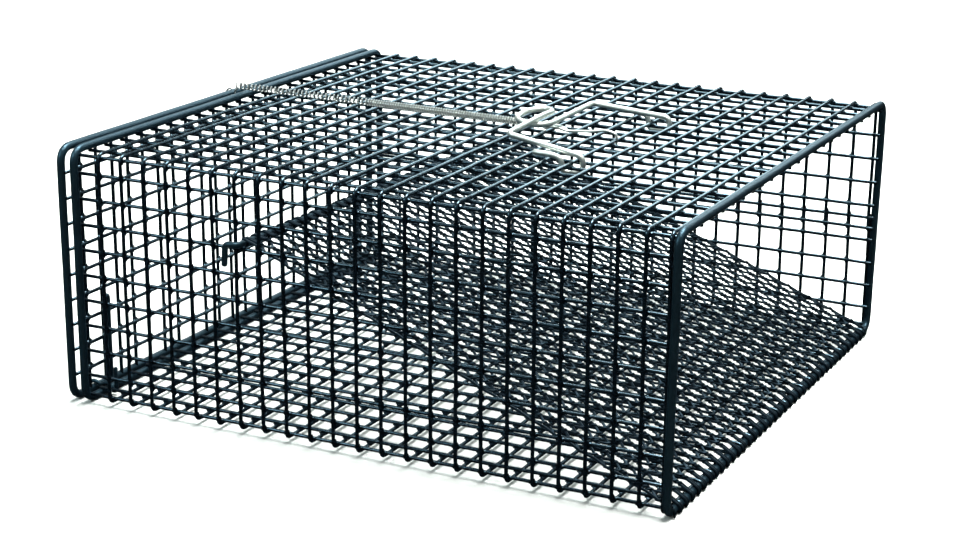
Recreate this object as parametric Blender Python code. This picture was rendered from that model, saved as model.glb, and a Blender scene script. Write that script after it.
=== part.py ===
"""Live catch trap: a coated square-wire cage with a ramp mouth, a sprung rear door and a wire handle.

The shape is laid out in mesh pitches: x runs from the rear frame to the mouth, y from the near side
to the far side, z up from the centres of the frames' bottom rods.  point() turns such a place into
metres in the part's frame, whose origin is on the ground below the middle of the trap.
"""
import math

import bmesh
import bpy
from mathutils import Vector

# ---------------------------------------------------------------- driving sizes, in mesh pitches
PITCH = 0.0254                    # one square of the wire mesh, in metres
REAR_X = -0.1                     # rear frame; the hoops of the mesh stand at whole x from 1 to 23
FRONT_X = 24.15                   # front frame
WIDTH = 23.0                      # between the centres of the two side rods of a frame
GAP = 0.0003 / PITCH              # gap between touching pieces
DOOR_BACK = 0.6                   # how far the door's frame stands behind the rear frame

FRAME_R = 0.165                   # frame rod, coated
FRAME_BEND = 0.45                 # bend radius of a frame's corners
WIRE_W = 0.135                    # mesh wire, coated
LIP_R = 0.12                      # cross rod at the top of the ramp
HANDLE_R = 0.11                   # zinc-plated handle wire
CLIP_R = 0.08                     # hinge clips
CLIP_IN = 1.35                    # from the near and far side rods to the clips
STRAP_IN = 1.79                   # and to the straps
STRAP_R = 0.09                    # hairpin straps on the door
SPRING_R = 0.155                  # outside of the coil
SPRING_WALL = 0.06                # thickness of the coil's wire
LOOP_R = 0.04                     # end loops of the spring
HOOK_R = 0.05                     # wire hook at the spring's front end

LOW = 0.0                         # height of a frame's bottom rod
TOP = 9.90                        # height of a frame's top rod
HANDLE_SINK = 0.15                # the handle turns this far below the top rods' centres
SHEET_IN = FRAME_R + WIRE_W / 2 + GAP + 0.003    # mesh centre, inwards from a rod's centre

RAMP_LIP_X = 7.17                 # where the ramp ends
LIP_NEAR_Z = 7.21                 # the lip rests above a near-side row
LIP_FAR_Z = 6.73                  # and above a lower row on the far side
LIP_OUT = 0.14                    # how far its bent ends stand outside the frames' centres
LIP_TURN = 0.5                    # each end runs back along the side by this much
LIP_DROP = 0.8                    # and then down by this much
SEAM_LOW = 4.51                   # lowest row of the far side's upper sheet
SEAM_HIGH = 4.93                  # highest row of the far side's lower sheet

CENTRE_Y = 11.45                  # line of the spring and its hook
DOOR_X = REAR_X - DOOR_BACK
CLIP_REACH = FRAME_R + CLIP_R + GAP + 0.003      # clip centre round a rod
X_MID = (FRONT_X + FRAME_R + DOOR_X - CLIP_REACH - CLIP_R) / 2
Y_MID = WIDTH / 2

SEGMENTS = 12                     # sides of a frame rod
CORNER_STEPS = 4                  # steps round a frame's corner


def point(x, y, z):
    """A place given in mesh pitches, in metres in the part's frame."""
    return Vector(((x - X_MID) * PITCH, (y - Y_MID) * PITCH, (z + FRAME_R) * PITCH))


# ---------------------------------------------------------------- materials
def material(name, colour, roughness, metallic):
    """A plain Principled material."""
    made = bpy.data.materials.new(name)
    made.use_nodes = True
    shader = made.node_tree.nodes["Principled BSDF"]
    shader.inputs["Base Color"].default_value = (*colour, 1.0)
    shader.inputs["Roughness"].default_value = roughness
    shader.inputs["Metallic"].default_value = metallic
    made.diffuse_color = (*colour, 1.0)
    return made


def clear_scene():
    """Removes whatever the file holds."""
    for old in list(bpy.data.objects):
        bpy.data.objects.remove(old)


# ---------------------------------------------------------------- joint axes
def pivot_empty(name, place, parent=None):
    """An empty on a joint's axis, which carries the pieces of one moving body."""
    empty = bpy.data.objects.new(name, None)
    empty.empty_display_size = PITCH
    bpy.context.scene.collection.objects.link(empty)
    empty.location = place
    if parent is not None:
        empty.parent = parent
        empty.location = place - world_place(parent)
    return empty


def world_place(obj):
    """Where an unturned object or empty stands, through its parents."""
    place = obj.location.copy()
    while obj.parent is not None:
        obj = obj.parent
        place += obj.location
    return place


def add_piece(name, data, finish, pivot=None):
    """Puts a mesh or curve made in world coordinates into the scene, on its joint's empty."""
    piece = bpy.data.objects.new(name, data)
    bpy.context.scene.collection.objects.link(piece)
    data.materials.append(finish)
    if pivot is not None:
        home = world_place(pivot)
        if isinstance(data, bpy.types.Curve):
            for spline in data.splines:
                for spot in spline.points:
                    spot.co = (*(spot.co.xyz - home), 1.0)
        else:
            for vertex in data.vertices:
                vertex.co -= home
        piece.parent = pivot
    return piece


def mesh_from(name, bm, smooth=False):
    """Closes a bmesh into a mesh whose faces point out."""
    bmesh.ops.remove_doubles(bm, verts=bm.verts, dist=1e-6)
    bmesh.ops.recalc_face_normals(bm, faces=bm.faces)
    mesh = bpy.data.meshes.new(name)
    bm.to_mesh(mesh)
    bm.free()
    if smooth:
        mesh.shade_smooth()
        mesh.set_sharp_from_angle(angle=math.radians(40))
    return mesh


# ---------------------------------------------------------------- frames
def frame_ring(name, x, finish, pivot=None):
    """One rod bent into a rounded rectangle across the cage, flats facing down, up and out."""
    bm = bmesh.new()
    section = bmesh.ops.create_circle(bm, segments=SEGMENTS,
                                      radius=FRAME_R * PITCH / math.cos(math.pi / SEGMENTS))
    turn_flat = math.pi / SEGMENTS
    for vertex in section["verts"]:
        flat_x, flat_z = vertex.co.x, vertex.co.y
        across = flat_x * math.cos(turn_flat) - flat_z * math.sin(turn_flat)
        upward = flat_x * math.sin(turn_flat) + flat_z * math.cos(turn_flat)
        vertex.co = point(x, FRAME_BEND, LOW) + Vector((across, 0.0, upward))
    rim = list({edge for vertex in section["verts"] for edge in vertex.link_edges})
    runs = [
        (Vector((0, WIDTH - 2 * FRAME_BEND, 0)), (WIDTH - FRAME_BEND, LOW + FRAME_BEND)),
        (Vector((0, 0, TOP - LOW - 2 * FRAME_BEND)), (WIDTH - FRAME_BEND, TOP - FRAME_BEND)),
        (Vector((0, 2 * FRAME_BEND - WIDTH, 0)), (FRAME_BEND, TOP - FRAME_BEND)),
        (Vector((0, 0, LOW - TOP + 2 * FRAME_BEND)), (FRAME_BEND, LOW + FRAME_BEND)),
    ]
    for straight, (corner_y, corner_z) in runs:
        grown = bmesh.ops.extrude_edge_only(bm, edges=rim)["geom"]
        moved = [item for item in grown if isinstance(item, bmesh.types.BMVert)]
        bmesh.ops.translate(bm, verts=moved, vec=straight * PITCH)
        rim = [item for item in grown if isinstance(item, bmesh.types.BMEdge)]
        turned = bmesh.ops.spin(bm, geom=rim, cent=point(x, corner_y, corner_z), axis=(1, 0, 0),
                                angle=math.pi / 2, steps=CORNER_STEPS)["geom_last"]
        rim = [item for item in turned if isinstance(item, bmesh.types.BMEdge)]
    return add_piece(name, mesh_from(name, bm, smooth=True), finish, pivot)


# ---------------------------------------------------------------- welded mesh panels
def cuts(bars, low, high):
    """Edges of the bars and of the gaps between them, from one end of a panel to the other."""
    edges = [low]
    for bar in bars:
        edges += [bar - WIRE_W / 2, bar + WIRE_W / 2]
    edges.append(high)
    return edges


def lattice(name, across, along, place, depth, finish, pivot=None):
    """A flat grille of crossing bars.

    across and along are (bar centres, low end, high end): bars run past the outermost crossings
    to those ends.  place(u, v) gives a point of the grille's back face and depth its thickness.
    """
    u_cuts = cuts(*across)
    v_cuts = cuts(*along)
    bm = bmesh.new()
    columns = len(u_cuts)
    rows = len(v_cuts)
    bmesh.ops.create_grid(bm, x_segments=columns - 1, y_segments=rows - 1, size=0.5)
    holes = []
    for face in bm.faces:
        centre = face.calc_center_median()
        column = int((centre.x + 0.5) * (columns - 1))
        row = int((centre.y + 0.5) * (rows - 1))
        if column % 2 == 0 and row % 2 == 0:
            holes.append(face)
    for vertex in bm.verts:
        u = u_cuts[round((vertex.co.x + 0.5) * (columns - 1))]
        v = v_cuts[round((vertex.co.y + 0.5) * (rows - 1))]
        vertex.co = place(u, v)
    bmesh.ops.delete(bm, geom=holes, context="FACES")
    grown = bmesh.ops.extrude_face_region(bm, geom=bm.faces[:])["geom"]
    moved = [item for item in grown if isinstance(item, bmesh.types.BMVert)]
    bmesh.ops.translate(bm, verts=moved, vec=Vector(depth) * PITCH)
    return add_piece(name, mesh_from(name, bm), finish, pivot)


# ---------------------------------------------------------------- bent wires
def arc(centre, radius, start, end, steps):
    """Points (x, z) on an arc in the upright plane along the cage, angles in degrees from +x."""
    points = []
    for step in range(steps + 1):
        angle = math.radians(start + (end - start) * step / steps)
        points.append((centre[0] + radius * math.cos(angle), centre[1] + radius * math.sin(angle)))
    return points


def rounded(corners, bend, steps=4):
    """A line of corners with each inner corner cut by a smooth bend."""
    corners = [Vector(corner) for corner in corners]
    points = [corners[0]]
    for before, corner, after in zip(corners, corners[1:], corners[2:]):
        reach_in = min(bend, (corner - before).length * 0.45)
        reach_out = min(bend, (after - corner).length * 0.45)
        enter = corner + (before - corner).normalized() * reach_in
        leave = corner + (after - corner).normalized() * reach_out
        for step in range(steps + 1):
            t = step / steps
            points.append(enter * (1 - t) ** 2 + corner * (2 * t * (1 - t)) + leave * t ** 2)
    points.append(corners[-1])
    return points


def wire(name, points, radius, finish, pivot=None, sides=2):
    """A round wire through a line of points given in mesh pitches."""
    curve = bpy.data.curves.new(name, "CURVE")
    curve.dimensions = "3D"
    curve.bevel_depth = radius * PITCH
    curve.bevel_resolution = sides
    curve.use_fill_caps = True
    spline = curve.splines.new("POLY")
    spline.points.add(len(points) - 1)
    for spot, place in zip(spline.points, points):
        spot.co = (*point(*place), 1.0)
        spot.radius = 1.0
    return add_piece(name, curve, finish, pivot)


# ---------------------------------------------------------------- the cage
HOOPS = ([2, 5, 8, 11, 14, 17, 20, 23], REAR_X - 0.05, FRONT_X + 0.05)
ROWS = [1, 3, 5, 7, 9]
TOP_ROWS = (list(range(1, 22, 2)), SHEET_IN - WIRE_W / 2, WIDTH - SHEET_IN + WIRE_W / 2)
SHEET_LOW = LOW + SHEET_IN + WIRE_W / 2 + GAP
SHEET_HIGH = TOP - SHEET_IN - WIRE_W / 2 - GAP


def cage_mesh(coating):
    """The wrapped sheet, as its flat sides; the far side is where its two ends overlap."""
    half = WIRE_W / 2
    lattice("top_mesh", HOOPS, TOP_ROWS, lambda u, v: point(u, v, TOP - SHEET_IN - half),
            (0, 0, WIRE_W), coating)
    lattice("floor_mesh", HOOPS, TOP_ROWS, lambda u, v: point(u, v, LOW + SHEET_IN - half),
            (0, 0, WIRE_W), coating)
    lattice("near_side_mesh", HOOPS, (ROWS, SHEET_LOW, SHEET_HIGH),
            lambda u, v: point(u, SHEET_IN - half, v), (0, WIRE_W, 0), coating)
    far_y = WIDTH - SHEET_IN
    lattice("far_side_lower_mesh", HOOPS, ([*ROWS[:2], SEAM_HIGH], SHEET_LOW, SEAM_HIGH + WIRE_W),
            lambda u, v: point(u, far_y - half, v), (0, WIRE_W, 0), coating)
    lattice("far_side_upper_mesh", HOOPS, ([SEAM_LOW, SEAM_LOW + 2, SEAM_LOW + 4], SEAM_LOW - WIRE_W, SHEET_HIGH),
            lambda u, v: point(u, far_y - half - WIRE_W - GAP, v), (0, WIRE_W, 0), coating)


def ramp(coating):
    """The ramp from the mouth's bottom rod up to its lip, and the rod along the lip.

    The real ramp is fine hexagonal netting; a coarse grille of the same outline stands in for it.
    """
    front_z = LOW + FRAME_R + WIRE_W / 2 + GAP + 0.04
    over_lip = LIP_R + WIRE_W + GAP
    slope = math.hypot(FRONT_X - RAMP_LIP_X, LIP_NEAR_Z - LOW)

    def lip_z(y):
        return LIP_NEAR_Z + (LIP_FAR_Z - LIP_NEAR_Z) * y / WIDTH

    def place(u, v):
        along = u / slope
        x = FRONT_X + (RAMP_LIP_X - FRONT_X) * along
        z = front_z + (lip_z(v) + over_lip - front_z) * along
        return point(x, v, z - WIRE_W / 2)

    lattice("ramp_mesh", ([1.5, 4.5, 7.5, 10.5, 13.5, 16.5], -0.05, slope + 0.12),
            ([0.5, *range(2, 21, 2), 22.1], 0.5 - WIRE_W, 22.1 + WIRE_W), place,
            (0, 0, WIRE_W), coating)

    back = Vector((-LIP_TURN, 0.0, 0.02))
    drop = Vector((-0.05, 0.0, -LIP_DROP))
    near = Vector((RAMP_LIP_X, -LIP_OUT, LIP_NEAR_Z))
    far = Vector((RAMP_LIP_X, WIDTH + LIP_OUT, LIP_FAR_Z))
    line = [near + back + drop, near + back, near, far, far + back, far + back + drop]
    wire("ramp_lip_rod", rounded(line, 0.2, steps=3), LIP_R, coating)


def hinge_clips(coating):
    """Wire clips over the two bottom rods: the door's rod turns in them, a J tail stands inside."""
    body_rod = (REAR_X, LOW)
    door_rod = (DOOR_X, LOW)
    tail_bend = 0.1
    tail_x = REAR_X + CLIP_REACH + 2 * tail_bend
    path = [(tail_x, 0.95)]
    path += arc((REAR_X + CLIP_REACH + tail_bend, 0.09), tail_bend, 0, -180, 6)
    path += arc(body_rod, CLIP_REACH, 25, 120, 5)
    path.append(((REAR_X + DOOR_X) / 2, 0.14))
    path += arc(door_rod, CLIP_REACH, 60, 190, 7)
    for side, y in (("near", CLIP_IN), ("far", WIDTH - CLIP_IN)):
        wire(f"hinge_clip_{side}", [(x, y, z) for x, z in path], CLIP_R, coating)


# ---------------------------------------------------------------- the door
def door(coating, pivot):
    """The rear door: its frame, its mesh and two hairpin straps above the hinge clips."""
    frame_ring("door_frame", DOOR_X, coating, pivot)
    mesh_x = DOOR_X + SHEET_IN
    lattice("door_mesh", (list(range(1, 22, 2)), -0.05, WIDTH + 0.05),
            (ROWS, -0.08, TOP + 0.05),
            lambda u, v: point(mesh_x - WIRE_W / 2, u, v), (WIRE_W, 0, 0), coating, pivot)
    strap_x = mesh_x + WIRE_W / 2 + STRAP_R + GAP + 0.003
    half = STRAP_R + 0.02
    for side, y in (("near", STRAP_IN), ("far", WIDTH - STRAP_IN)):
        legs = [(strap_x, y - half, 0.37), (strap_x, y - half, 3.7),
                (strap_x, y + half, 3.7), (strap_x, y + half, 0.37)]
        wire(f"door_strap_{side}", rounded(legs, 0.1), STRAP_R, coating, pivot)


# ---------------------------------------------------------------- the spring and its hook
SPRING_BACK = Vector((-0.38, CENTRE_Y, TOP + 0.38))
SPRING_FRONT = Vector((13.72, CENTRE_Y, TOP + 0.23))
LINK_X = 14.0                     # where the hook's eye hangs in the spring's front loop
LINK_Z = TOP + 0.23


def spring(zinc, pivot):
    """The closing spring as a tube of its coil's size, with its two end loops."""
    bm = bmesh.new()
    axis = (SPRING_FRONT - SPRING_BACK).normalized()
    side = Vector((0, 1, 0))
    upright = axis.cross(side)
    profile = []
    for offset, reach in ((SPRING_BACK, SPRING_R), (SPRING_FRONT, SPRING_R),
                          (SPRING_FRONT, SPRING_R - SPRING_WALL), (SPRING_BACK, SPRING_R - SPRING_WALL)):
        profile.append(bm.verts.new(point(*(offset + upright * reach))))
    edges = [bm.edges.new((profile[i], profile[(i + 1) % 4])) for i in range(4)]
    bmesh.ops.spin(bm, geom=profile + edges, cent=point(*SPRING_BACK), axis=axis,
                   angle=math.tau, steps=12, use_merge=True)
    add_piece("door_spring", mesh_from("door_spring", bm, smooth=True), zinc, pivot)

    loop_reach = FRAME_R + LOOP_R + 0.02
    bar = (DOOR_X, TOP)
    back = [(x, CENTRE_Y, z) for x, z in arc(bar, loop_reach, 75, 390, 14)]
    back.append((SPRING_BACK.x - LOOP_R - GAP, CENTRE_Y, SPRING_BACK.z - 0.12))
    wire("spring_door_loop", back, LOOP_R, zinc, pivot)

    ring = arc((LINK_X, LINK_Z), 0.15, 170, -150, 12)
    front = [(SPRING_FRONT.x + GAP, CENTRE_Y, LINK_Z + 0.04)]
    front += [(x, CENTRE_Y, z) for x, z in ring]
    wire("spring_front_loop", front, LOOP_R, zinc, pivot)


def spring_hook(zinc, pivot):
    """The wire hook: a long eye in the spring's front loop, and a bend over a cross wire."""
    half = 0.17
    shank = CENTRE_Y - 0.06
    eye = [(14.85, CENTRE_Y + 0.06, TOP + 0.14), (14.5, CENTRE_Y + half, LINK_Z),
           (LINK_X, CENTRE_Y + half, LINK_Z), (LINK_X, CENTRE_Y - half, LINK_Z),
           (14.5, CENTRE_Y - half, LINK_Z), (14.95, shank, TOP + 0.1),
           (15.9, shank, TOP + 0.19), (16.6, shank, TOP + 0.31), (17.03, shank, TOP + 0.2),
           (17.03, shank, TOP - 0.12)]
    wire("spring_hook", rounded(eye, 0.14, steps=3), HOOK_R, zinc, pivot)


# ---------------------------------------------------------------- the handle
HANDLE_X = 17.0                   # the cross wire that the handle hooks round
HANDLE_MID = 11.415               # middle between its two legs
HANDLE_HALF = 3.875


def leg_end(side, hook_x):
    """The end of one leg: a cut end folded back on the top, down, under the cross wire and up."""
    inner = HANDLE_MID + side * HANDLE_HALF
    outer = inner + side * 0.3
    return [(15.5, outer, TOP + 0.2), (16.2, outer, TOP + 0.18), (16.6, outer, TOP + 0.08),
            (16.62, outer, TOP - 0.44), (hook_x, inner, TOP - 0.44), (hook_x, inner, TOP + 0.16)]


def handle(zinc, pivot):
    """One wire: hook, leg, half of the grip, a round eye, the other half, leg, hook."""
    near = HANDLE_MID - HANDLE_HALF
    far = HANDLE_MID + HANDLE_HALF
    grip = [(14.24, near, TOP + 0.70), (14.28, 10.6, TOP + 0.82), (14.36, 11.35, TOP + 0.83),
            (13.9, 11.75, TOP + 0.81), (13.25, 11.4, TOP + 0.78), (13.1, 10.8, TOP + 0.73),
            (13.3, 10.2, TOP + 0.66), (13.8, 9.95, TOP + 0.58), (14.35, 9.98, TOP + 0.55),
            (14.62, 10.4, TOP + 0.54), (14.6, 11.2, TOP + 0.53), (14.27, far, TOP + 0.41)]
    line = leg_end(-1, 17.35) + grip + list(reversed(leg_end(1, 17.65)))
    wire("handle", rounded(line, 0.22, steps=3), HANDLE_R, zinc, pivot)


# ---------------------------------------------------------------- build
clear_scene()
coated = material("black_coating", (0.012, 0.018, 0.022), 0.35, 0.0)
frame_coat = material("frame_coating", (0.014, 0.024, 0.026), 0.28, 0.0)
zinc_plate = material("zinc_plate", (0.70, 0.72, 0.70), 0.32, 1.0)

door_axis = pivot_empty("door_axis", point(DOOR_X, Y_MID, LOW))
spring_axis = pivot_empty("spring_axis", point(DOOR_X, CENTRE_Y, TOP), door_axis)
hook_axis = pivot_empty("hook_axis", point(LINK_X, CENTRE_Y, LINK_Z), spring_axis)
handle_axis = pivot_empty("handle_axis", point(HANDLE_X, HANDLE_MID, TOP - HANDLE_SINK))

frame_ring("front_frame", FRONT_X, frame_coat)
frame_ring("rear_frame", REAR_X, frame_coat)
cage_mesh(coated)
ramp(coated)
hinge_clips(coated)
door(frame_coat, door_axis)
spring(zinc_plate, spring_axis)
spring_hook(zinc_plate, hook_axis)
handle(zinc_plate, handle_axis)
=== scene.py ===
# %% [markdown]
# # A live catch trap, wire by wire
#
# The real trap is almost nothing but wire: one welded sheet wrapped into a box, two bent rods that hold
# its open ends, a ramp, a door, a spring and a handle.  A box with a wire picture on it would look flat
# as soon as light fell through it, so every wire is a real tube here.  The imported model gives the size
# and the places, and this lesson builds the fine surface round it.

# %% Load the frame and keep its box
import math
import random

import bmesh
import bpy
from mathutils import Matrix, Quaternion, Vector


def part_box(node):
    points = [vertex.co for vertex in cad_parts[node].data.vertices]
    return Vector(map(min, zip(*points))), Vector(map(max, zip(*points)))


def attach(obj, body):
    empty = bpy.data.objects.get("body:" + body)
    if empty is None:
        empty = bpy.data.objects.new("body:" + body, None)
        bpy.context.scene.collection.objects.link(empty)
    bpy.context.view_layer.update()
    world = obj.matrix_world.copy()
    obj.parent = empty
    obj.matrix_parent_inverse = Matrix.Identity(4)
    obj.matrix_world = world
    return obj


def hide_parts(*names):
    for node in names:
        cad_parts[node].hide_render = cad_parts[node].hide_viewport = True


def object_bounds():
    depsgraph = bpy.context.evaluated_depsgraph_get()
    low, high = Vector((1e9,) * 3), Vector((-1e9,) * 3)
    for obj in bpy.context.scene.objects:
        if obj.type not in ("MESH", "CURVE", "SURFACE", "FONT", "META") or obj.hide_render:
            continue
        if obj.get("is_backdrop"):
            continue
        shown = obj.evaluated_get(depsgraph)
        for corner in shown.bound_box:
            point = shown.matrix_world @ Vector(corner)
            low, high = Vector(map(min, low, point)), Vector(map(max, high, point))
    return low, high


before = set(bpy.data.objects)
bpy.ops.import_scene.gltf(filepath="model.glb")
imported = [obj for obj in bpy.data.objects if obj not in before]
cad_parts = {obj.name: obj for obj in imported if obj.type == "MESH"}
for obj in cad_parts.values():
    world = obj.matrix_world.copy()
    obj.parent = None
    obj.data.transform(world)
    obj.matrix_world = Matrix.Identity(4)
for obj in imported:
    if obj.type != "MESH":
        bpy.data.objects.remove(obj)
cad_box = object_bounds()
print("CAD box, mm:", [round((high - low) * 1000, 1) for low, high in zip(*cad_box)])

# %% [markdown]
# ## Measure in squares
#
# Someone who makes such a trap counts squares of mesh, not millimetres: twenty-four along, twenty-three
# across and ten up.  The rods of the front frame give the size of one square, and at() turns a place
# counted in squares into metres.  x runs from the door to the mouth, y from the near side, and z up from
# the centres of the bottom rods.

# %% One square of mesh, from the front frame
ACROSS = 23.0
front_low, front_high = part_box("front_frame")
ROD = (front_high.x - front_low.x) / 2
SQUARE = (front_high.y - front_low.y - 2 * ROD) / ACROSS
rear_low, rear_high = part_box("rear_frame")
door_low, door_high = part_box("door_frame")

REAR_ROD_IN = 0.1                 # the rear rod stands this far behind the sheet's first whole square
origin = Vector(((rear_low.x + rear_high.x) / 2 + REAR_ROD_IN * SQUARE, front_low.y + ROD,
                 front_low.z + ROD))


def at(x, y, z):
    """A place counted in squares, in metres."""
    return origin + Vector((x, y, z)) * SQUARE


ROD_R = ROD / SQUARE
LOW = 0.0
TOP = (front_high.z - front_low.z) / SQUARE - 2 * ROD_R
REAR_X = -REAR_ROD_IN
FRONT_X = ((front_low.x + front_high.x) / 2 - origin.x) / SQUARE
DOOR_X = ((door_low.x + door_high.x) / 2 - origin.x) / SQUARE
print(f"square {SQUARE * 1000:.2f} mm, frames {FRONT_X - REAR_X:.2f} squares apart, top rod at {TOP:.2f}")

# %% [markdown]
# ## The camera first
#
# The camera decides what has to be right, so it comes before the pieces.  It stands in front of the
# near side, to the right and a little above, with a long lens so that the far wall hardly shrinks.  A
# direction is easier to adjust than three rotation angles: the camera is turned to look along it, and
# rolled a touch about its own line of sight.

# %% Camera
EYE = (47.161, -59.557, 27.687)
TURN = math.radians(-26.631)
TILT = math.radians(16.835)
ROLL = math.radians(0.451)

sight = Vector((math.sin(TURN) * math.cos(TILT), math.cos(TURN) * math.cos(TILT), -math.sin(TILT)))
camera = bpy.data.objects.new("camera", bpy.data.cameras.new("camera"))
bpy.context.scene.collection.objects.link(camera)
camera.data.lens = 75.41
camera.data.sensor_width = 36.0
camera.location = at(*EYE)
camera.rotation_mode = "QUATERNION"
camera.rotation_quaternion = sight.to_track_quat("-Z", "Y") @ Quaternion((0, 0, 1), ROLL)
bpy.context.scene.camera = camera
print("camera at", [round(value, 3) for value in camera.location])

# %% [markdown]
# ## Shader maths as plain expressions
#
# A finish is a small sum: this much noise, less that much wear.  Written as nodes, each plus sign takes
# four lines.  So one class wraps an output socket and lets + - * / make the Math nodes, and its method
# node() makes any other node from its type, its settings and its sockets.

# %% A socket that does sums
class Value:
    """An output socket of a material's nodes: + - * / add Math nodes behind it."""

    def __init__(self, tree, socket=None):
        self.tree = tree
        self.socket = socket

    def node(self, kind, settings=None, sockets=None, out=0):
        """Adds a node: its settings first, then the values or links of its sockets."""
        made = self.tree.nodes.new(kind)
        for name, setting in (settings or {}).items():
            setattr(made, name, setting)
        for name, given in (sockets or {}).items():
            if isinstance(given, Value):
                self.tree.links.new(given.socket, made.inputs[name])
            else:
                made.inputs[name].default_value = given
        return Value(self.tree, made.outputs[out])

    def sum_with(self, operation, first, second):
        return self.node("ShaderNodeMath", {"operation": operation, "use_clamp": False},
                         {0: first, 1: second})

    def __add__(self, other):
        return self.sum_with("ADD", self, other)

    def __radd__(self, other):
        return self.sum_with("ADD", other, self)

    def __sub__(self, other):
        return self.sum_with("SUBTRACT", self, other)

    def __rsub__(self, other):
        return self.sum_with("SUBTRACT", other, self)

    def __mul__(self, other):
        return self.sum_with("MULTIPLY", self, other)

    def __rmul__(self, other):
        return self.sum_with("MULTIPLY", other, self)


# %% [markdown]
# Every finish starts the same way: a Principled shader, and the piece's own Object coordinates, which
# stay put when the piece turns on its hinge.  The helpers below read noise at a size given in
# millimetres and cut a soft-edged patch out of it, because real dirt, bloom and flow marks are patchy.

# %% Helpers for the finishes
class Finish(Value):
    """A material under way: its nodes, its Principled shader and its Object coordinates."""

    def __init__(self, name):
        self.material = bpy.data.materials.new(name)
        self.material.use_nodes = True
        super().__init__(self.material.node_tree)
        self.shader = self.tree.nodes["Principled BSDF"]
        self.place = self.node("ShaderNodeTexCoord", out="Object")

    def noise(self, size_mm, detail=2.0, roughness=0.5):
        """Noise whose lumps are about size_mm across, from 0 to 1."""
        return self.node("ShaderNodeTexNoise", {"noise_dimensions": "3D"},
                         {"Vector": self.place, "Scale": 1000.0 / size_mm, "Detail": detail,
                          "Roughness": roughness})

    def patches(self, source, low, high):
        """The part of a noise above low, with a soft edge up to high."""
        return self.node("ShaderNodeMapRange", {"interpolation_type": "SMOOTHSTEP"},
                         {"Value": source, "From Min": low, "From Max": high})

    def mix(self, factor, first, second):
        """A colour between two colours."""
        colours = [given if isinstance(given, Value) else (*given, 1.0) for given in (first, second)]
        return self.node("ShaderNodeMix", {"data_type": "RGBA"},
                         {0: factor, 6: colours[0], 7: colours[1]}, out=2)

    def bump(self, height, depth_mm, normal=None):
        """A surface normal from a height between 0 and 1."""
        sockets = {"Height": height, "Distance": depth_mm / 1000.0, "Strength": 1.0}
        if normal is not None:
            sockets["Normal"] = normal
        return self.node("ShaderNodeBump", None, sockets)

    def set(self, **given):
        """Sets or links the Principled shader's sockets; Base_Color stands for Base Color."""
        for name, value in given.items():
            socket = self.shader.inputs[name.replace("_", " ")]
            if isinstance(value, Value):
                self.tree.links.new(value.socket, socket)
            else:
                socket.default_value = value
        return self.material


# %% [markdown]
# ## The coating on the mesh
#
# The sheet is welded from galvanised wire and then dipped or sintered in black plastic.  It is nearly
# black with a cold blue-green cast, glossy where the plastic flowed, duller where it froze too soon,
# and a little lumpy: that lumpiness breaks every highlight into dashes.  The colour change is faint;
# the roughness and two sizes of bump do most of the work.

# %% Mesh coating
def mesh_coating():
    coat = Finish("mesh_coating")
    flow = coat.noise(9.0, 3.0)
    peel = coat.noise(1.6, 2.0)
    dust = coat.patches(coat.noise(38.0, 4.0, 0.6), 0.52, 0.78)
    scuff = coat.patches(coat.noise(2.4, 3.0, 0.7), 0.66, 0.74)
    colour = coat.mix(flow, (0.0003, 0.0009, 0.0022), (0.0008, 0.0024, 0.0055))
    colour = coat.mix(dust * 0.2, colour, (0.006, 0.014, 0.02))
    colour = coat.mix(scuff * 0.2, colour, (0.02, 0.036, 0.042))
    rough = 0.14 + flow * 0.1 + dust * 0.1 + scuff * 0.1
    lumps = coat.bump(flow, 0.5)
    return coat.set(Base_Color=colour, Roughness=rough, Normal=coat.bump(peel, 0.1, lumps),
                    IOR=1.5, Specular_IOR_Level=0.9, Specular_Tint=(0.4, 0.78, 1.0, 1.0),
                    Coat_Weight=0.55, Coat_Roughness=0.14, Coat_Tint=(0.85, 0.97, 1.0, 1.0))


# %% [markdown]
# ## The coating on the frames
#
# The rods are coated in the same plastic but thicker and duller, with a fine pebbled skin that scatters
# light, so they look lighter and more blue-green than the mesh.  The pebbles are a Voronoi pattern a
# millimetre or two across, softened with noise.

# %% Frame coating
def frame_coating():
    coat = Finish("frame_coating")
    cells = coat.node("ShaderNodeTexVoronoi", {"feature": "SMOOTH_F1"},
                      {"Vector": coat.place, "Scale": 620.0, "Smoothness": 0.7})
    cloud = coat.noise(16.0, 4.0, 0.6)
    speck = coat.patches(coat.noise(1.1, 2.0, 0.6), 0.62, 0.72)
    colour = coat.mix(cloud, (0.0008, 0.003, 0.006), (0.0025, 0.009, 0.014))
    colour = coat.mix(speck * 0.25, colour, (0.03, 0.06, 0.07))
    pebbles = coat.bump(cells, 0.22)
    return coat.set(Base_Color=colour, Roughness=0.3 + cloud * 0.16, IOR=1.5,
                    Normal=coat.bump(cloud, 0.5, pebbles), Specular_IOR_Level=0.8,
                    Specular_Tint=(0.4, 0.78, 1.0, 1.0))


# %% [markdown]
# ## The netting's coating
#
# The ramp's wire is thinner and its plastic is duller than the mesh's, so its highlights are broad and
# weak.  A fine grain keeps them from looking smooth.

# %% Netting coating
def netting_coating():
    coat = Finish("netting_coating")
    cloud = coat.noise(12.0, 3.0)
    grain = coat.noise(1.2, 2.0, 0.6)
    colour = coat.mix(cloud, (0.0003, 0.0009, 0.002), (0.001, 0.0028, 0.0055))
    return coat.set(Base_Color=colour, Roughness=0.4 + cloud * 0.15 + grain * 0.1,
                    Normal=coat.bump(grain, 0.08, coat.bump(cloud, 0.3)), IOR=1.45,
                    Specular_IOR_Level=0.35, Specular_Tint=(0.4, 0.75, 1.0, 1.0))


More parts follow.
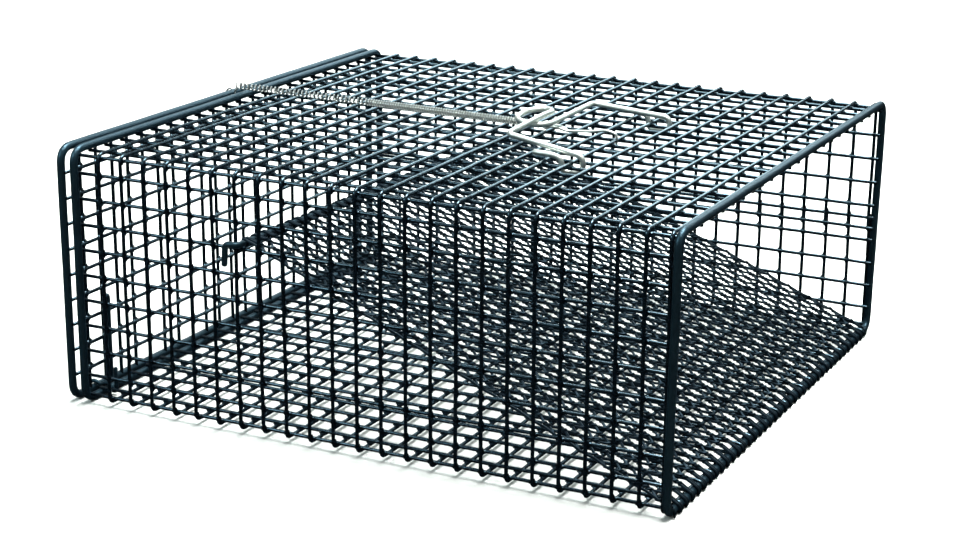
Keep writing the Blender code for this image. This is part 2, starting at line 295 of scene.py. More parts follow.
# %% [markdown]
# ## Zinc plate and spring steel
#
# The handle and hook are bright zinc-plated wire: a warm white metal with a cloudy bloom and a fine
# grain.  The spring is the same metal, greyer in patches.  A metal's colour is its reflection, so both
# stay almost fully metallic and only the tint and roughness wander.

# %% Zinc and spring steel
def zinc(name, bright, dull, rough):
    metal = Finish(name)
    bloom = metal.noise(7.0, 4.0, 0.6)
    grain = metal.noise(0.9, 3.0, 0.7)
    stain = metal.patches(metal.noise(14.0, 3.0), 0.58, 0.8)
    colour = metal.mix(bloom, bright, dull)
    colour = metal.mix(stain * 0.4, colour, (0.50, 0.52, 0.42))
    return metal.set(Base_Color=colour, Metallic=1.0 - stain * 0.15,
                     Roughness=rough + bloom * 0.12 + grain * 0.08,
                     Normal=metal.bump(grain, 0.05, metal.bump(bloom, 0.1)))


# %% Make the five finishes
coating = mesh_coating()
net_coating = netting_coating()
rod_coating = frame_coating()
bright_zinc = zinc("zinc_wire", (0.90, 0.93, 0.86), (0.76, 0.81, 0.76), 0.34)
spring_steel = zinc("spring_steel", (0.82, 0.81, 0.76), (0.45, 0.46, 0.44), 0.2)
print("finishes:", [made.name for made in bpy.data.materials if made.use_nodes][-5:])

# %% [markdown]
# ## One tool for every wire
#
# A wire could be a curve with a bevel, but then its ends would be flat discs and its faces out of
# reach.  So a ring of points is grown from place to place along the wire's line: extrude the ring,
# move it on, and turn it into the new direction.  Each wire is grown in a small bmesh of its own and
# then added to its piece, because an operator's cost goes with the size of the mesh it works in.

# %% Grow a round wire
def directions(places, closed):
    """The wire's direction at each place, halfway between the runs on its two sides."""
    count = len(places)
    found = []
    for index in range(count):
        before = places[index - 1] if closed or index else places[0]
        after = places[(index + 1) % count] if closed or index < count - 1 else places[-1]
        found.append((after - before).normalized())
    return found


def ring_parts(grown):
    """The vertices and edges among what an extrusion made."""
    verts = [item for item in grown if isinstance(item, bmesh.types.BMVert)]
    edges = [item for item in grown if isinstance(item, bmesh.types.BMEdge)]
    return verts, edges


def grow_wire(line, radius, sides=8, closed=False):
    """A bmesh of one round wire along a line of places counted in squares, with domed ends."""
    places = [at(*place) for place in line]
    heading = directions(places, closed)
    if closed:
        places.append(places[0])
        heading.append(heading[0])
    bm = bmesh.new()
    ring = bmesh.ops.create_circle(bm, segments=sides, radius=radius * SQUARE)["verts"]
    turn = Vector((0, 0, 1)).rotation_difference(heading[0]).to_matrix()
    bmesh.ops.rotate(bm, verts=ring, cent=(0, 0, 0), matrix=turn)
    bmesh.ops.translate(bm, verts=ring, vec=places[0])
    first = rim = bm.edges[:]
    for index in range(1, len(places)):
        verts, rim = ring_parts(bmesh.ops.extrude_edge_only(bm, edges=rim)["geom"])
        bmesh.ops.translate(bm, verts=verts, vec=places[index] - places[index - 1])
        turn = heading[index - 1].rotation_difference(heading[index]).to_matrix()
        bmesh.ops.rotate(bm, verts=verts, cent=places[index], matrix=turn)
    if closed:
        bmesh.ops.remove_doubles(bm, verts=bm.verts, dist=1e-5)
    else:
        dome(bm, first, places[0], -heading[0], radius * SQUARE)
        dome(bm, rim, places[-1], heading[-1], radius * SQUARE)
    bmesh.ops.recalc_face_normals(bm, faces=bm.faces)
    return bm


DOME_NARROW = 0.6                 # a dome's rim, as a share of the wire's radius
DOME_LONG = 0.5                   # how far the dome stands out, as a share of the wire's radius


def dome(bm, rim, centre, outward, radius):
    """Closes a wire's end with a narrower ring and a cap."""
    verts, rim = ring_parts(bmesh.ops.extrude_edge_only(bm, edges=rim)["geom"])
    bmesh.ops.scale(bm, verts=verts, vec=(DOME_NARROW,) * 3, space=Matrix.Translation(-centre))
    bmesh.ops.translate(bm, verts=verts, vec=outward * radius * DOME_LONG)
    bmesh.ops.edgeloop_fill(bm, edges=rim)


# %% [markdown]
# A piece collects many such wires.  Its object sits at the origin, rides on the body that moves it,
# hides the parts of the imported model it stands for, and carries its finish.

# %% Collect wires into a piece
made_pieces = {}


class Piece:
    """A mesh under way, to which small meshes are added one by one."""

    def __init__(self):
        self.bm = bmesh.new()

    def add(self, small):
        """Adds a small bmesh, and frees it."""
        scrap = bpy.data.meshes.new("scrap")
        small.to_mesh(scrap)
        small.free()
        self.bm.from_mesh(scrap)
        bpy.data.meshes.remove(scrap)

    def stamp(self, pattern, placing):
        """Adds a copy of a pattern mesh, moved by a matrix."""
        scrap = pattern.copy()
        scrap.transform(placing)
        self.bm.from_mesh(scrap)
        bpy.data.meshes.remove(scrap)

    def finish(self, name, material, body, slot, *stands_for):
        """Makes the object, shades it smooth, parents it to its body and hides the parts it stands for."""
        mesh = bpy.data.meshes.new(name)
        self.bm.to_mesh(mesh)
        self.bm.free()
        mesh.materials.append(material)
        mesh.shade_smooth()
        mesh.set_sharp_from_angle(angle=math.radians(50))
        piece = bpy.data.objects.new(name, mesh)
        bpy.context.scene.collection.objects.link(piece)
        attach(piece, body)
        if stands_for:
            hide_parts(*stands_for)
        triangles = sum(len(face.vertices) - 2 for face in mesh.polygons)
        made_pieces[name] = triangles
        print(f"{name}: {triangles} triangles")
        return piece


# %% [markdown]
# ## Lines for the wires to follow
#
# A bent wire is a list of corners with each corner rounded off, cut into steps no longer than a square.
# Nothing in a welded sheet is dead straight: each wire wanders by about a hundredth of a square.  The
# wander is a sum of two slow waves with seeded phases, so it is the same on every run.

# %% Rounded corners, short steps and a little wander
def rounded(corners, bend, steps=5):
    """A line of corners with each inner corner cut by a smooth bend."""
    corners = [Vector(corner) for corner in corners]
    line = [corners[0]]
    for before, corner, after in zip(corners, corners[1:], corners[2:]):
        reach_in = min(bend, (corner - before).length * 0.45)
        reach_out = min(bend, (after - corner).length * 0.45)
        enter = corner + (before - corner).normalized() * reach_in
        leave = corner + (after - corner).normalized() * reach_out
        for step in range(steps + 1):
            t = step / steps
            line.append(enter * (1 - t) ** 2 + corner * (2 * t * (1 - t)) + leave * t ** 2)
    line.append(corners[-1])
    return line


def stepped(line, longest=1.0):
    """The same line with a place at least every square."""
    line = [Vector(place) for place in line]
    fine = [line[0]]
    for start, end in zip(line, line[1:]):
        pieces = max(1, round((end - start).length / longest))
        fine += [start.lerp(end, step / pieces) for step in range(1, pieces + 1)]
    return fine


dice = random.Random(23)
WANDER = 0.011


def wandering(line, amount=WANDER):
    """The same line, drifting sideways by slow waves."""
    phases = [[dice.uniform(0, math.tau) for _ in range(2)] for _ in range(3)]
    lengths = [dice.uniform(3.0, 5.0), dice.uniform(8.0, 14.0)]
    drifted = []
    travelled = 0.0
    for index, place in enumerate(line):
        if index:
            travelled += (place - line[index - 1]).length
        shift = [sum(math.sin(phase + math.tau * travelled / length)
                     for phase, length in zip(axis, lengths)) for axis in phases]
        drifted.append(place + Vector(shift) * amount * 0.5)
    return drifted


# %% [markdown]
# ## The three frames
#
# Each frame is one thick rod bent into a rounded rectangle.  The mouth's frame leans: its foot stands a
# touch nearer the door than its top.  The door's frame is the same rod again, just behind the rear one.

# %% Front, rear and door frames
FRAME_BEND = 0.62
FRAME_WANDER = 0.006
ROD_SHARE = 0.96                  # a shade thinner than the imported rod, which leaves room to wander
LEAN = 0.12                       # how much nearer the door the frame's foot stands


def lean(z):
    """How far the mouth's frame has leant back at a height."""
    return LEAN * (1 - z / TOP)


def frame_line(x, leaning):
    """The closed line of a frame's rod."""
    corners = [(0, LOW), (0, TOP), (ACROSS, TOP), (ACROSS, LOW)]
    halfway = (ACROSS / 2, LOW)
    line = rounded([(x, *corner) for corner in [halfway, *corners, halfway]], FRAME_BEND, steps=9)
    line = wandering(stepped(line[:-1], 1.5), FRAME_WANDER)
    if leaning:
        line = [place - Vector((lean(place.z), 0, 0)) for place in line]
    return line


for name, x, body, node in (("front_frame_rod", FRONT_X, "cage", "front_frame"),
                            ("rear_frame_rod", REAR_X, "cage", "rear_frame"),
                            ("door_frame_rod", DOOR_X, "door", "door_frame")):
    rod = Piece()
    rod.add(grow_wire(frame_line(x, node == "front_frame"), ROD_R * ROD_SHARE, sides=24, closed=True))
    rod.finish(name, rod_coating, body, "frame_coating", node)

# %% [markdown]
# ## The web at a crossing
#
# Where two welded wires cross, the plastic gathers in the four corners, and that is what makes the
# squares look round-cornered.  It is a star with four hollow sides.  A circle of sixteen points is
# pulled into that star, grown up and down from its middle, and stamped on every crossing: with nearly
# two thousand crossings it may have only a few dozen faces.

# %% The star of plastic
WIRE_R = 0.072
WEB_REACH = 0.1                   # radius of the hollow corner
WEB_HALF = 0.025                  # half the web's thickness


def web_mesh():
    """The star as a mesh of its own, lying flat at the origin."""
    bm = bmesh.new()
    ring = bmesh.ops.create_circle(bm, segments=16, radius=1.0)["verts"]
    for index, vertex in enumerate(sorted(ring, key=lambda v: math.atan2(v.co.y, v.co.x) % math.tau)):
        quadrant, step = divmod(index, 4)
        hollow = WIRE_R * 0.85 + WEB_REACH
        turn = math.radians(90) * step / 3
        corner = Vector((hollow - WEB_REACH * math.sin(turn), hollow - WEB_REACH * math.cos(turn), 0))
        vertex.co = Matrix.Rotation(math.radians(90) * quadrant, 3, "Z") @ corner * SQUARE
    middle = bm.edges[:]
    for side in (1, -1):
        verts, rim = ring_parts(bmesh.ops.extrude_edge_only(bm, edges=middle)["geom"])
        bmesh.ops.scale(bm, verts=verts, vec=(0.86, 0.86, 1.0))
        bmesh.ops.translate(bm, verts=verts, vec=(0, 0, side * WEB_HALF * SQUARE))
        bmesh.ops.edgeloop_fill(bm, edges=rim)
    bmesh.ops.recalc_face_normals(bm, faces=bm.faces)
    mesh = bpy.data.meshes.new("web")
    bm.to_mesh(mesh)
    bm.free()
    return mesh


web = web_mesh()
print("web:", len(web.polygons), "faces")


def facing(place, outward, along=(1, 0, 0)):
    """A matrix that lays the web at a place, flat against a direction, one arm lengthwise."""
    up = Vector(outward).normalized()
    first = Vector(along)
    first = (first - up * first.dot(up)).normalized()
    turn = Matrix((first, up.cross(first), up)).transposed().to_4x4()
    return Matrix.Translation(at(*place)) @ turn


# %% [markdown]
# ## The wrapped sheet
#
# The body is one sheet of welded mesh.  It starts on the far wall, goes down, under the floor, up the
# near side, over the top and down the far wall again, where its two ends overlap by less than half a
# square.  So twenty-four wires wrap right round as hoops, on the outside, and the other wires run
# straight from frame to frame inside them.  The last hoop lies against the mouth's rod and thickens it.

# %% Hoops
HOOP_IN = 0.05                    # a hoop's centre, inwards from the rods' centres
STRAIGHT_IN = HOOP_IN + 2 * WIRE_R
HOOP_BEND = 0.27
SEAM_LOW = 4.51                   # lowest row of the sheet's upper end
SEAM_HIGH = 4.93                  # highest row of its lower end
SEAM_STEP = 2 * WIRE_R            # the upper end lies this far inside the lower one
STUB = 0.12                       # wire past its last crossing
MOUTH_HOOP_X = 23.88              # the last hoop lies against the mouth's rod
SEAM_START = 0.4                  # below the top, where the upper end starts to move in
BEND_ROW = 0.2                    # a row in the bend of an edge stands this far from the rods
CORNER_ROW = 0.24                 # and the one on the top's far edge


def seam_in(z):
    """How far the upper end has moved in at a height, so that it passes inside the lower end."""
    return SEAM_STEP * min(1.0, max(0.0, (TOP - SEAM_START - z) / (TOP - SEAM_START - SEAM_HIGH)))


def hoop_line(x):
    """A hoop, from the lower end's last crossing right round to the upper end's."""
    near = HOOP_IN
    far = ACROSS - HOOP_IN
    shift = dice.uniform(-0.03, 0.03)
    corners = [(x, far, SEAM_HIGH + STUB), (x, far, LOW + HOOP_IN), (x, near, LOW + HOOP_IN),
               (x, near, TOP - HOOP_IN), (x, far, TOP - HOOP_IN),
               (x + shift, far - SEAM_STEP, SEAM_LOW - STUB)]
    return rounded(corners, HOOP_BEND)


hoops = Piece()
for x in (*range(1, 24), MOUTH_HOOP_X):
    hoops.add(grow_wire(wandering(stepped(hoop_line(x))), WIRE_R))
hoops.finish("sheet_hoops", coating, "cage", "mesh_coating", "top_mesh", "floor_mesh",
             "near_side_mesh", "far_side_lower_mesh", "far_side_upper_mesh")

# %% [markdown]
# The straight wires run through the inside of the hoops, side by side.  Their ends lie against the
# rods of the two frames and are buried in the same coating.  On the floor they end wrapped over the
# mouth's bottom rod, which gives that rod its ribs.

# %% Straight wires and their webs
FLOOR_Z = LOW + STRAIGHT_IN
TOP_Z = TOP - STRAIGHT_IN
NEAR_Y = STRAIGHT_IN
FAR_Y = ACROSS - STRAIGHT_IN
WRAP_R = ROD_R + 0.012            # centre line of a wire's wrap, sunk into the rod's coating


def mouth_x(z):
    """Where the mouth's frame stands at a height."""
    return FRONT_X - lean(z)


def wrap(centre_x, centre_z, radius, start, end, y, steps=6):
    """Places round a rod that runs across the trap, angles in degrees from straight forward."""
    line = []
    for step in range(steps + 1):
        angle = math.radians(start + (end - start) * step / steps)
        line.append(Vector((centre_x + radius * math.cos(angle), y, centre_z + radius * math.sin(angle))))
    return line


def straight_line(y, z, wrapped=False):
    """A wire from the rear frame to the mouth's, or wrapped over the mouth's bottom rod."""
    start = Vector((REAR_X - 0.03, y, z))
    if not wrapped:
        return wandering(stepped([start, (mouth_x(z) + 0.02, y, z)]))
    end = Vector((mouth_x(LOW) - 0.1, y, z))
    return wandering(stepped([start, end])) + wrap(mouth_x(LOW), LOW, WRAP_R, 86, -22, y)


def straight_wires(name, node, rows, outward):
    """A side's straight wires, with a web on each crossing; rows are (y, z)."""
    side = Piece()
    outward = Vector(outward)
    for y, z in rows:
        side.add(grow_wire(straight_line(y, z, node == "floor_mesh"), WIRE_R))
        for x in range(1, 24):
            spot = Vector((x, y, z)) + outward * WIRE_R
            side.stamp(web, facing(spot, outward))
    side.finish(name, coating, "cage", "mesh_coating", node)


top_rows = [(y, TOP_Z) for y in range(1, 23)] + [(ACROSS - CORNER_ROW, TOP_Z)]
straight_wires("top_straight_wires", "top_mesh", top_rows, (0, 0, 1))
straight_wires("floor_straight_wires", "floor_mesh", [(y, FLOOR_Z) for y in range(1, 23)], (0, 0, -1))
near_rows = [(NEAR_Y, row) for row in range(1, 10)]
near_rows += [(NEAR_Y + 0.02, TOP - BEND_ROW), (NEAR_Y + 0.02, LOW + BEND_ROW)]
straight_wires("near_straight_wires", "near_side_mesh", near_rows, (0, -1, 0))
far_lower = [(FAR_Y, z) for z in (LOW + BEND_ROW, 0.97, 1.95, 2.94, 3.94, SEAM_HIGH)]
straight_wires("far_lower_straight_wires", "far_side_lower_mesh", far_lower, (0, 1, 0))
far_upper = [(FAR_Y - seam_in(z), z) for z in (SEAM_LOW, 5.50, 6.50, 7.52, 8.54, 9.60)]
straight_wires("far_upper_straight_wires", "far_side_upper_mesh", far_upper, (0, 1, 0))

# %% [markdown]
# ## The ramp
#
# The ramp is finer stuff: hexagonal wire netting, the kind used for hen runs.  It climbs from the mouth's
# bottom rod to a cross rod seven squares up, the lip, and its cut ends are wound round both rods, so the
# lip looks like a thick ribbed cord.  The lip is lower at the far side, so the ramp is slightly twisted.
#
# Netting is made from pairs of wires.  In one row each wire is twisted with its left neighbour, in the
# next row with its right one, and the slack between two twists opens into a hexagon.  So one wire is a
# short helix, a slanting run, a helix about the other centre, and so on up the ramp.

# %% The surface the netting lies in
LIP_X = 7.17
LIP_R = 0.12
LIP_NEAR_Z = 7.21
LIP_FAR_Z = 6.73
NET_R = 0.053
LIP_WRAP = LIP_R + NET_R * 0.5
FOOT_WRAP = ROD_R + NET_R * 0.8


def lip_z(y):
    """Height of the lip's rod at a place across the trap."""
    return LIP_NEAR_Z + (LIP_FAR_Z - LIP_NEAR_Z) * y / ACROSS


def ramp_slope(y):
    """The ramp's angle at a place across the trap, in degrees."""
    return math.degrees(math.atan2(lip_z(y) - LOW, mouth_x(LOW) - LIP_X))


def ramp_place(y, share, above=0.0):
    """A point on the ramp: share 0 on the mouth's rod, 1 on the lip; above in squares."""
    angle = math.radians(90 - ramp_slope(y))
    normal = Vector((math.cos(angle), 0, math.sin(angle)))
    foot = Vector((mouth_x(LOW), y, LOW)) + normal * FOOT_WRAP
    head = Vector((LIP_X, y, lip_z(y))) + normal * LIP_WRAP
    return foot.lerp(head, share) + normal * above


# %% Hexagonal netting
NET_LOW_Y = 0.25                  # near edge of the netting
CELLS = 38
CELL_WIDE = 0.577
NET_ROWS = 35
TWIST_SHARE = 0.6                 # share of a row taken by the twist
TWIST_STEPS = 4
FOOT_START = -30                  # where a cut end begins under the mouth's rod, in degrees
HEAD_END = 385                    # and where it ends round the lip
HEAD_STEPS = 12
END_DRIFT = 0.11                  # sideways drift of the cut end


def net_wire(index):
    """One wire of the netting, from the mouth's rod up to the lip and round it."""
    hand = 1 if index % 2 else -1
    line = []
    for row in range(1, NET_ROWS):
        pair = (index + 1) // 2 if row % 2 else index // 2 + 0.5
        centre = NET_LOW_Y + pair * CELL_WIDE + dice.uniform(-0.012, 0.012)
        side = hand if row % 2 == 0 else -hand
        for step in range(TWIST_STEPS + 1):
            turn = math.tau * step / TWIST_STEPS
            share = (row + TWIST_SHARE * (step / TWIST_STEPS - 0.5)) / NET_ROWS
            across = centre + side * NET_R * math.cos(turn)
            line.append(ramp_place(across, share, NET_R + side * NET_R * math.sin(turn)))
    foot_y, head_y = line[0].y, line[-1].y
    tip = 90 - ramp_slope(foot_y)
    foot = wrap(mouth_x(LOW), LOW, FOOT_WRAP, FOOT_START, tip, foot_y, steps=6)
    head = wrap(LIP_X, lip_z(head_y), LIP_WRAP, tip, HEAD_END, head_y, steps=HEAD_STEPS)
    for step, place in enumerate(head):
        place.y += hand * END_DRIFT * step / HEAD_STEPS
        place.z += lip_z(place.y) - lip_z(head_y)
    return foot + line + head


ramp = Piece()
for index in range(2 * CELLS):
    ramp.add(grow_wire(net_wire(index), NET_R, sides=6))
for y, inward in ((NET_LOW_Y, 1), (NET_LOW_Y + CELLS * CELL_WIDE, -1)):
    edge = [ramp_place(y + inward * (0.05 if row % 2 == 0 else -0.03), row / NET_ROWS, NET_R)
            for row in range(NET_ROWS + 1)]
    ramp.add(grow_wire(edge, NET_R, sides=6))
ramp.finish("ramp_netting", net_coating, "cage", "mesh_coating", "ramp_mesh")

# %% [markdown]
# The lip's rod pokes out through the near and far walls, resting on a row of the mesh.  Each end is bent
# back along the outside of the wall and then down, so that it can't slide back in.

# %% Lip rod
LIP_OUT = 0.14
back = Vector((-0.5, 0.0, 0.02))
drop = Vector((-0.05, 0.0, -0.8))
lip_near = Vector((LIP_X, -LIP_OUT, LIP_NEAR_Z))
lip_far = Vector((LIP_X, ACROSS + LIP_OUT, LIP_FAR_Z))
lip = Piece()
lip_line = rounded([lip_near + back + drop, lip_near + back, lip_near,
                    lip_far, lip_far + back, lip_far + back + drop], 0.2)
lip.add(grow_wire(stepped(lip_line), LIP_R, sides=16))
lip.finish("ramp_lip", rod_coating, "cage", "frame_coating", "ramp_lip_rod")

# %% [markdown]
# ## The door's mesh
#
# The door is a flat piece of the same mesh, welded to the inside of its own frame.  Its upright wires
# stand on the outside, against the rods, and its level wires run across inside them.

# %% Door mesh
DOOR_UP_X = DOOR_X + HOOP_IN + 0.02
DOOR_LEVEL_X = DOOR_UP_X + 2 * WIRE_R
door = Piece()
for y in range(1, 23):
    line = [(DOOR_UP_X, y, LOW - 0.02), (DOOR_UP_X, y, TOP + 0.02)]
    door.add(grow_wire(wandering(stepped(line)), WIRE_R))
for z in range(1, 10):
    line = [(DOOR_LEVEL_X, -0.02, z), (DOOR_LEVEL_X, ACROSS + 0.02, z)]
    door.add(grow_wire(wandering(stepped(line)), WIRE_R))
    for y in range(1, 23):
        door.stamp(web, facing((DOOR_LEVEL_X - WIRE_R, y, z), (1, 0, 0), along=(0, 1, 0)))
door.finish("door_wires", coating, "door", "mesh_coating", "door_mesh")

# %% [markdown]
# ## Hinge clips and straps
#
# The door turns on its own bottom rod.  Two short clips hold it: each is a stout wire bent over both
# bottom rods, with a J-shaped tail standing inside the cage.  Above each clip a hairpin strap stiffens
# the door's mesh.

# %% Clips and straps
CLIP_R = 0.08
STRAP_R = 0.09
CLIP_IN = 1.35                    # from the side rods to the clips
STRAP_IN = 1.79                   # and to the straps
TAIL_BEND = 0.1
STRAP_HALF = 0.11                 # half the distance between a strap's legs
STRAP_FOOT = 0.37
STRAP_TOP = 3.7
TAIL_TOP = 0.95
TAIL_LOW = 0.09                   # height of the middle of the tail's bend
CLIP_REACH = (DOOR_X * SQUARE + origin.x - cad_box[0].x) / SQUARE - CLIP_R


def clip_line(y):
    """A clip: J tail inside the cage, under and over the rear rod, over the door's rod."""
    tail_x = REAR_X + CLIP_REACH + 2 * TAIL_BEND
    line = [Vector((tail_x, y, TAIL_TOP))]
    line += wrap(REAR_X + CLIP_REACH + TAIL_BEND, TAIL_LOW, TAIL_BEND, 0, -180, y, steps=8)
    line += wrap(REAR_X, LOW, CLIP_REACH, 25, 120, y, steps=7)
    line.append(Vector(((REAR_X + DOOR_X) / 2, y, 0.14)))
    line += wrap(DOOR_X, LOW, CLIP_REACH, 60, 190, y, steps=9)
    return line


strap_low, strap_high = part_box("door_strap_near")
strap_x = ((strap_low.x + strap_high.x) / 2 - origin.x) / SQUARE
for side, inward, edge in (("near", 1, 0.0), ("far", -1, ACROSS)):
    clip = Piece()
    clip.add(grow_wire(clip_line(edge + inward * CLIP_IN), CLIP_R, sides=14))
    clip.finish(f"clip_{side}", rod_coating, "cage", "frame_coating", f"hinge_clip_{side}")
    y = edge + inward * STRAP_IN
    legs = [(strap_x, y - STRAP_HALF, STRAP_FOOT), (strap_x, y - STRAP_HALF, STRAP_TOP),
            (strap_x, y + STRAP_HALF, STRAP_TOP), (strap_x, y + STRAP_HALF, STRAP_FOOT)]
    strap = Piece()
    strap.add(grow_wire(stepped(rounded(legs, 0.1)), STRAP_R, sides=14))
    strap.finish(f"strap_{side}", rod_coating, "door", "frame_coating", f"door_strap_{side}")

# %% [markdown]
# ## The spring
#
# The door is held shut by a long extension spring.  Its turns lie open near the door, where it has
# been overstretched, and close-packed along the rest.  Blender's spin makes a coil when each step
# also moves along the axis, so a small ring of wire is spun twice: first with a
# wide step, then with a narrow one.

# %% Coil
CENTRE_Y = 11.45
COIL_R = 0.123                    # centre line of the wire
COIL_WIRE = 0.032
TURN_STEPS = 14
coil_back = Vector((-0.38, CENTRE_Y, TOP + 0.38))
coil_front = Vector((13.72, CENTRE_Y, TOP + 0.23))
coil_axis = (coil_front - coil_back).normalized()
OPEN_SHARE = 0.45                 # share of the length that is wound open
OPEN_PITCH = 0.19
CLOSE_PITCH = 0.115


def spun(bm, rim, length, pitch, centre):
    """Spins the wire's ring round the axis for a length, and returns the ring it ends on."""
    turns = length / pitch
    steps = round(turns * TURN_STEPS)
    grown = bmesh.ops.spin(bm, geom=rim, cent=centre, axis=coil_axis, angle=math.tau * turns,
                           steps=steps, dvec=coil_axis * (length / steps) * SQUARE)
    return ring_parts(grown["geom_last"])[1]


length = (coil_front - coil_back).length
bm = bmesh.new()
ring = bmesh.ops.create_circle(bm, segments=7, radius=COIL_WIRE * SQUARE)["verts"]
upright = coil_axis.cross(Vector((0, 1, 0))).normalized()
bmesh.ops.rotate(bm, verts=ring, cent=(0, 0, 0),
                 matrix=Vector((0, 0, 1)).rotation_difference(Vector((0, 1, 0))).to_matrix())
bmesh.ops.translate(bm, verts=ring, vec=at(*(coil_back + upright * COIL_R)))
first = bm.edges[:]
last = spun(bm, first, length * OPEN_SHARE, OPEN_PITCH, at(*coil_back))
last = spun(bm, last, length * (1 - OPEN_SHARE), CLOSE_PITCH, at(*coil_back))
bmesh.ops.edgeloop_fill(bm, edges=first)
bmesh.ops.edgeloop_fill(bm, edges=last)
bmesh.ops.recalc_face_normals(bm, faces=bm.faces)
coil = Piece()
coil.add(bm)
coil.finish("spring_coil", spring_steel, "spring", "spring_steel", "door_spring")

# %% [markdown]
# Each end of the spring is turned out into a loop: a big one round the door's top rod, and a small ring
# at the front for the hook.

# %% End loops
LOOP_R = 0.036
LINK_X = 14.0
LINK_Z = TOP + 0.23
door_loop = wrap(DOOR_X, TOP, ROD_R + LOOP_R + 0.02, 75, 390, CENTRE_Y, steps=22)
door_loop.append(coil_back + Vector((0.04, 0, -COIL_R)))
front_loop = [coil_front + Vector((-0.05, 0, 0.08)), coil_front + Vector((0.02, 0, 0.05))]
front_loop += wrap(LINK_X, LINK_Z, 0.15, 170, -150, CENTRE_Y, steps=18)
for name, line, node in (("spring_loop_back", door_loop, "spring_door_loop"),
                         ("spring_loop_front", front_loop, "spring_front_loop")):
    loop = Piece()
    loop.add(grow_wire(line, LOOP_R, sides=10))
    loop.finish(name, spring_steel, "spring", "spring_steel", node)

# %% [markdown]
# ## The hook
#
# A thin zinc wire joins the spring to the cage: a long closed eye through the spring's ring, a
# straight shank, and a bend that drops over a cross wire of the top.

# %% Hook
EYE_HALF = 0.17
SHANK_Y = CENTRE_Y - 0.06
hook_corners = [(14.85, CENTRE_Y + 0.06, TOP + 0.14), (14.5, CENTRE_Y + EYE_HALF, LINK_Z),
                (LINK_X, CENTRE_Y + EYE_HALF, LINK_Z), (LINK_X, CENTRE_Y - EYE_HALF, LINK_Z),
                (14.5, CENTRE_Y - EYE_HALF, LINK_Z), (14.95, SHANK_Y, TOP + 0.1),
                (15.9, SHANK_Y, TOP + 0.19), (16.6, SHANK_Y, TOP + 0.31), (17.03, SHANK_Y, TOP + 0.2),
                (17.03, SHANK_Y, TOP - 0.3)]
hook = Piece()
hook.add(grow_wire(rounded(hook_corners, 0.14, steps=6), 0.05, sides=12))
hook.finish("hook_wire", bright_zinc, "hook", "zinc_wire", "spring_hook")

# %% [markdown]
# ## The carrying handle
#
# The handle is one thick zinc wire.  Each end is a hook: the leg dips under a cross wire of the top, comes
# up again and is folded back beside itself, so the handle can be lifted on that wire.  Between the legs
# runs the grip, with a full round eye in its middle.

# %% Handle
HANDLE_R = 0.11
HANDLE_MID = 11.415
HANDLE_HALF = 3.875


def leg_end(side, hook_x):
    """The end of one leg: a cut end folded back on the top, down, under the cross wire and up."""
    inner = HANDLE_MID + side * HANDLE_HALF
    outer = inner + side * 0.3
    return [(15.5, outer, TOP + 0.2), (16.2, outer, TOP + 0.18), (16.6, outer, TOP + 0.08),
            (16.62, outer, TOP - 0.44), (hook_x, inner, TOP - 0.44), (hook_x, inner, TOP + 0.16)]


near_leg = HANDLE_MID - HANDLE_HALF
far_leg = HANDLE_MID + HANDLE_HALF
grip = [(14.24, near_leg, TOP + 0.70), (14.28, 10.6, TOP + 0.82), (14.36, 11.35, TOP + 0.83),
        (13.9, 11.75, TOP + 0.81), (13.35, 11.4, TOP + 0.78), (13.22, 10.8, TOP + 0.73),
        (13.3, 10.2, TOP + 0.66), (13.8, 9.95, TOP + 0.58), (14.35, 9.98, TOP + 0.55),
        (14.62, 10.4, TOP + 0.54), (14.6, 11.2, TOP + 0.53), (14.27, far_leg, TOP + 0.41)]
handle_line = leg_end(-1, 17.35) + grip + list(reversed(leg_end(1, 17.65)))
handle = Piece()
handle.add(grow_wire(rounded(handle_line, 0.3, steps=7), HANDLE_R, sides=18))
handle.finish("carrying_handle", bright_zinc, "handle", "zinc_wire", "handle")

# %% [markdown]
# ## Floor and light
#
# The trap stands on a white table.  The floor is a pale, faintly warm sheet with a barely visible mottle.
# Glossy black wire shows nothing but what is round it, so each lamp has a job.  The one overhead whitens
# the table.  The one in front and to the left draws the bright lines on the wires that run lengthwise.
# The low one behind does the same for the hoops and rods that cross the top.

# %% Floor
FLOOR_SIZE = 9.0
table = Finish("table_white")
mottle = table.noise(160.0, 4.0, 0.6)
table_finish = table.set(Base_Color=table.mix(mottle, (0.90, 0.91, 0.85), (0.93, 0.935, 0.89)),
                         Roughness=0.75 + mottle * 0.1, Normal=table.bump(table.noise(3.0), 0.05))
bm = bmesh.new()
bmesh.ops.create_grid(bm, x_segments=4, y_segments=4, size=FLOOR_SIZE)
floor_mesh = bpy.data.meshes.new("table")
bm.to_mesh(floor_mesh)
bm.free()
floor_mesh.materials.append(table_finish)
floor = bpy.data.objects.new("table", floor_mesh)
bpy.context.scene.collection.objects.link(floor)
floor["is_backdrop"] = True


# %% Lights
def soft_light(name, place, target, width, depth, power, colour=(1.0, 1.0, 1.0)):
    """A rectangular lamp that faces a point."""
    lamp = bpy.data.lights.new(name, "AREA")
    lamp.shape = "RECTANGLE"
    lamp.size = width
    lamp.size_y = depth
    lamp.energy = power
    lamp.color = colour
    held = bpy.data.objects.new(name, lamp)
    bpy.context.scene.collection.objects.link(held)
    held.location = place
    held.rotation_mode = "QUATERNION"
    held.rotation_quaternion = (Vector(target) - Vector(place)).to_track_quat("-Z", "Y")
    return held


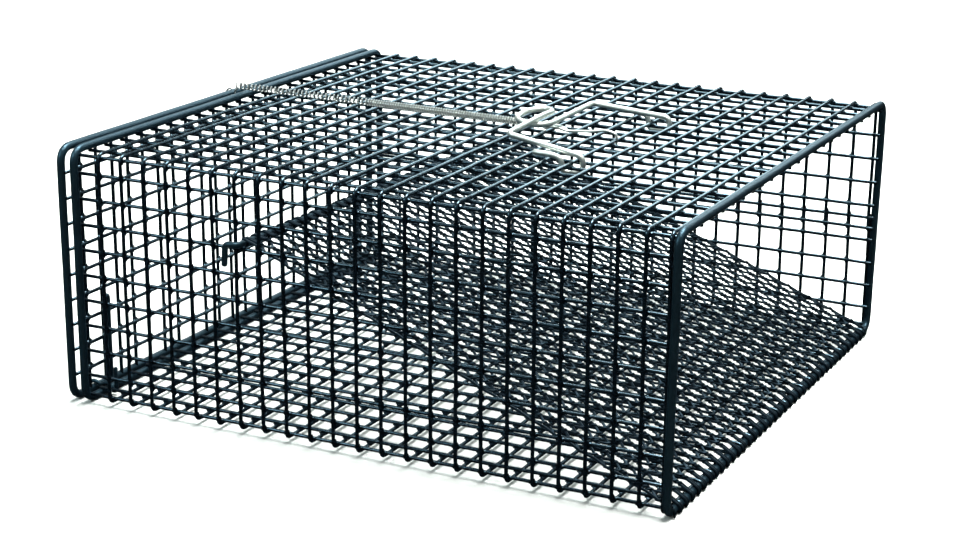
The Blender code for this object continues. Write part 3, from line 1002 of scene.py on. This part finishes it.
middle = (0.0, 0.0, 0.12)
soft_light("overhead", (0.1, 0.4, 2.0), middle, 1.5, 0.9, 62.0, (0.88, 0.98, 1.0))
soft_light("front_left", (-0.95, -1.25, 1.15), middle, 0.5, 0.4, 8.0, (0.75, 0.94, 1.0))
soft_light("behind", (-0.2, 1.7, 1.05), middle, 2.0, 0.5, 14.0, (0.75, 0.94, 1.0))

sky_lamp = bpy.data.lights.new("sky_lamp", "SUN")
sky_lamp.energy = 5.0
sky_lamp.angle = math.radians(30)
sky = bpy.data.objects.new("sky_lamp", sky_lamp)
bpy.context.scene.collection.objects.link(sky)
sky.rotation_euler = (math.radians(-6), math.radians(4), 0.0)

# %% [markdown]
# The room is bright above and dark below.  The world's own coordinates give each direction a height, and
# a soft ramp turns that into brightness.  The table is hidden from reflections for the same reason:
# otherwise the undersides of the wires would mirror it and turn grey.

# %% Room
ROOM_ABOVE = 0.3
ROOM_BELOW = 0.02
world = bpy.data.worlds.new("white_room")
world.use_nodes = True
bpy.context.scene.world = world
room = Value(world.node_tree)
direction = room.node("ShaderNodeTexCoord", out="Generated")
height = room.node("ShaderNodeSeparateXYZ", None, {"Vector": direction}, out="Z")
brightness = room.node("ShaderNodeMapRange", {"interpolation_type": "SMOOTHSTEP"},
                       {"Value": height, "From Min": -0.15, "From Max": 0.75,
                        "To Min": ROOM_BELOW, "To Max": ROOM_ABOVE})
background = world.node_tree.nodes["Background"]
background.inputs["Color"].default_value = (0.93, 1.0, 1.0, 1.0)
world.node_tree.links.new(brightness.socket, background.inputs["Strength"])
floor.visible_glossy = False
bpy.context.scene.view_settings.view_transform = "Standard"

# %% [markdown]
# ## Check the size and finish
#
# The finer pieces must stay inside the imported model's box.  How far they reach outside it, on both sides
# of each axis, is printed.

# %% Sizes and the last line
print("pieces:", len(made_pieces), "triangles:", sum(made_pieces.values()))
visual_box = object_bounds()
for axis, name in enumerate("xyz"):
    over_low = (cad_box[0][axis] - visual_box[0][axis]) * 1000
    over_high = (visual_box[1][axis] - cad_box[1][axis]) * 1000
    print(f"{name}: outside the CAD box by {over_low:.2f} and {over_high:.2f} mm")
